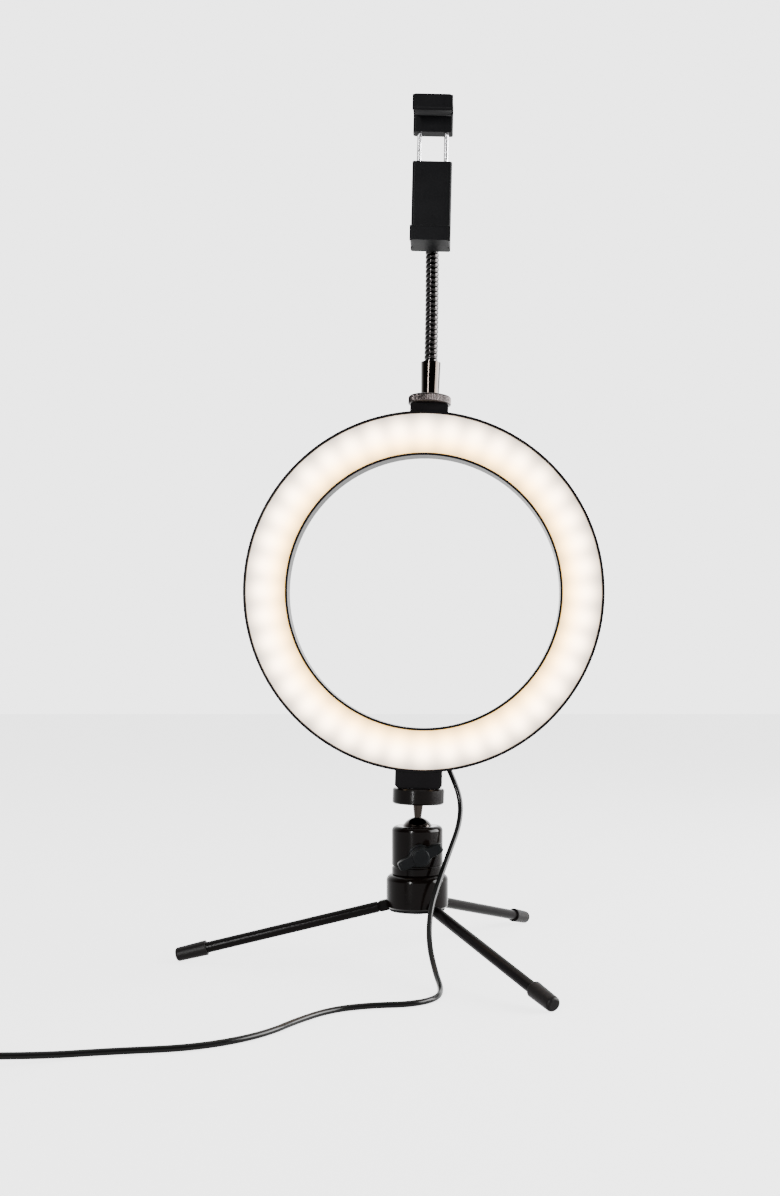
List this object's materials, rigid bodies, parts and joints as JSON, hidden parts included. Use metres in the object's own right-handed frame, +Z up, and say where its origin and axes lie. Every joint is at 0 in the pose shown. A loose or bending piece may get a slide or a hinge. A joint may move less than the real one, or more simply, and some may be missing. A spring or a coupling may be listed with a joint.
{
  "type": "ring light",
  "caption": "Tabletop ring light on a folding mini tripod with a ball head, and a sprung phone clamp on a gooseneck above the ring.",
  "frame": {"origin": "on the tripod's axis, on the surface that the feet stand on", "axes": "+Z up, the ring faces -Y, +X to the right as seen from the front"},
  "size_m": [0.3469, 0.3973, 0.4682],
  "materials": {
    "gloss_black": "glossy black plastic",
    "matte_black": "matte black plastic",
    "painted_black": "glossy black paint on cast metal",
    "black_chrome": "black chrome",
    "satin_black_metal": "satin black metal",
    "foot_rubber": "matte black rubber",
    "nylon": "natural nylon",
    "steel": "zinc plated steel",
    "brass": "turned brass",
    "diffuser_white": "milky acrylic",
    "reflector_white": "white plastic film",
    "board_white": "white solder mask on an aluminium board",
    "led_yellow": "phosphor",
    "neck_black": "glossy black coated steel coil",
    "cord_black": "black PVC",
    "board_green": "green circuit board"
  },
  "bodies": {
    "stand": {"hub_body": "painted_black", "hub_plate": "matte_black", "hub_screw": "steel", "leg_pins": "steel", "head_base": "painted_black", "head_housing": "painted_black", "head_collar": "painted_black", "cord_low": "cord_black", "cord_tail": "cord_black", "cord_coil": "cord_black", "coil_tie": "cord_black", "plug_lead": "cord_black", "controller_bottom": "matte_black", "controller_top": "matte_black", "controller_board": "board_green", "plug_body": "cord_black", "plug_shell": "steel"},
    "seat": {"ball_seat": "nylon"},
    "ball": {"head_ball": "black_chrome", "cord_middle": "cord_black"},
    "head": {"head_stem": "black_chrome", "back_shell": "gloss_black", "shell_screws": "steel", "reflector": "reflector_white", "led_board": "board_white", "leds": "led_yellow", "diffuser": "diffuser_white", "lower_block": "gloss_black", "upper_block": "gloss_black", "threaded_inserts": "brass", "cord_gland": "gloss_black", "neck_ferrule": "black_chrome", "cord_top": "cord_black"},
    "disc": {"lock_disc": "satin_black_metal"},
    "knob": {"lock_knob": "matte_black", "lock_screw": "steel"},
    "shoe": {"brake_shoe": "nylon"},
    "top_nut": {"top_nut": "satin_black_metal"},
    "knuckle": {"neck_knuckle": "black_chrome"},
    "liner": {"ball_liner": "nylon"},
    "clamp_nut": {"ball_nut": "matte_black"},
    "clamp": {"clamp_base": "matte_black", "lower_pad": "foot_rubber", "clamp_springs": "steel"},
    "slider": {"clamp_slider": "matte_black", "upper_pad": "foot_rubber", "guide_rods": "steel"},
    "leg_left": {"leg_left": "satin_black_metal", "foot_left": "foot_rubber"},
    "leg_rear": {"leg_rear": "satin_black_metal", "foot_rear": "foot_rubber"},
    "leg_front": {"leg_front": "satin_black_metal", "foot_front": "foot_rubber"},
    "link_1": {"neck_link_1": "neck_black"},
    "link_2": {"neck_link_2": "neck_black"},
    "link_3": {"neck_link_3": "neck_black"},
    "link_4": {"neck_link_4": "neck_black"},
    "button_power": {"button_power": "foot_rubber"},
    "button_brighter": {"button_brighter": "foot_rubber"},
    "button_dimmer": {"button_dimmer": "foot_rubber"}
  },
  "joints": [
    {"name": "fold_left", "type": "hinge", "parent": "stand", "child": "leg_left", "pos_m": [-0.0125, -0.00015, 0.0322], "axis": [0.0122, -0.9999, 0], "range_deg": [0, 75.7]},
    {"name": "fold_rear", "type": "hinge", "parent": "stand", "child": "leg_rear", "pos_m": [0.00612, 0.0109, 0.0322], "axis": [-0.8721, 0.4894, 0], "range_deg": [0, 75.7]},
    {"name": "fold_front", "type": "hinge", "parent": "stand", "child": "leg_front", "pos_m": [0.00638, -0.01075, 0.0322], "axis": [0.8599, 0.5105, 0], "range_deg": [0, 75.7]},
    {"name": "head_nod", "type": "hinge", "parent": "stand", "child": "seat", "pos_m": [0, 0, 0.0708], "axis": [1, 0, 0], "range_deg": [-35, 35], "deforming": ["cord_low"]},
    {"name": "head_roll", "type": "hinge", "parent": "seat", "child": "ball", "pos_m": [0, 0, 0.0708], "axis": [0, 1, 0], "range_deg": [-25, 25], "deforming": ["cord_middle"]},
    {"name": "head_pan", "type": "hinge", "parent": "ball", "child": "head", "pos_m": [0, 0, 0.0708], "axis": [0.0288, 0, 0.9996], "range_deg": [-90, 90], "deforming": ["cord_top"]},
    {"name": "disc_spin", "type": "hinge", "parent": "head", "child": "disc", "pos_m": [0.00048, 0, 0.08749], "axis": [0.0288, 0, 0.9996], "continuous": true},
    {"name": "top_nut_spin", "type": "hinge", "parent": "head", "child": "top_nut", "pos_m": [0.00688, 0, 0.3096], "axis": [0.0288, 0, 0.9996], "continuous": true},
    {"name": "lock_turn", "type": "hinge", "parent": "stand", "child": "knob", "pos_m": [0.0018, -0.01469, 0.0604], "axis": [0.1219, -0.9925, 0], "range_deg": [0, 150]},
    {"name": "shoe_slide", "type": "slide", "parent": "stand", "child": "shoe", "axis": [0.1219, -0.9925, 0], "range_m": [0, 0.0005]},
    {"name": "neck_bend_1", "type": "hinge", "parent": "head", "child": "link_1", "pos_m": [0.0076, 0, 0.33469], "axis": [0.9996, 0, -0.0288], "range_deg": [-22, 22]},
    {"name": "neck_sway_1", "type": "hinge", "parent": "link_1", "child": "link_2", "pos_m": [0.00796, 0, 0.35131], "axis": [0, 1, 0], "range_deg": [-22, 22]},
    {"name": "neck_bend_2", "type": "hinge", "parent": "link_2", "child": "link_3", "pos_m": [0.0082, 0, 0.36793], "axis": [0.9999, 0, -0.0144], "range_deg": [-22, 22]},
    {"name": "neck_sway_2", "type": "hinge", "parent": "link_3", "child": "link_4", "pos_m": [0.00832, 0, 0.38456], "axis": [0, 1, 0], "range_deg": [-22, 22]},
    {"name": "neck_bend_3", "type": "hinge", "parent": "link_4", "child": "knuckle", "pos_m": [0.00832, 0, 0.40118], "axis": [1, 0, 0], "range_deg": [-22, 22]},
    {"name": "clamp_tilt", "type": "hinge", "parent": "knuckle", "child": "liner", "pos_m": [0.00832, -0.0106, 0.41068], "axis": [1, 0, 0], "range_deg": [-18, 18]},
    {"name": "clamp_yaw", "type": "hinge", "parent": "liner", "child": "clamp_nut", "pos_m": [0.00832, -0.0106, 0.41068], "axis": [0, 0, 1], "range_deg": [-15, 15]},
    {"name": "clamp_turn", "type": "hinge", "parent": "clamp_nut", "child": "clamp", "pos_m": [0.00832, -0.0106, 0.41068], "axis": [0, 1, 0], "range_deg": [-90, 90]},
    {"name": "jaw_slide", "type": "slide", "parent": "clamp", "child": "slider", "axis": [0.0227, 0, 0.9997], "range_m": [-0.01, 0.019], "deforming": ["clamp_springs"]},
    {"name": "press_power", "type": "slide", "parent": "stand", "child": "button_power", "axis": [0, 0, -1], "range_m": [0, 0.0006], "stiffness_N_per_m": 400, "springref_m": -0.0002},
    {"name": "press_brighter", "type": "slide", "parent": "stand", "child": "button_brighter", "axis": [0, 0, -1], "range_m": [0, 0.0006], "stiffness_N_per_m": 400, "springref_m": -0.0002},
    {"name": "press_dimmer", "type": "slide", "parent": "stand", "child": "button_dimmer", "axis": [0, 0, -1], "range_m": [0, 0.0006], "stiffness_N_per_m": 400, "springref_m": -0.0002}
  ],
  "couplings": [
    {"joint": "shoe_slide", "follows": "lock_turn", "m_per_rad": 0.00019035},
    {"joint": "neck_bend_2", "follows": "neck_bend_1", "ratio": 1},
    {"joint": "neck_sway_2", "follows": "neck_sway_1", "ratio": 1},
    {"joint": "neck_bend_3", "follows": "neck_bend_1", "ratio": 1}
  ]
}
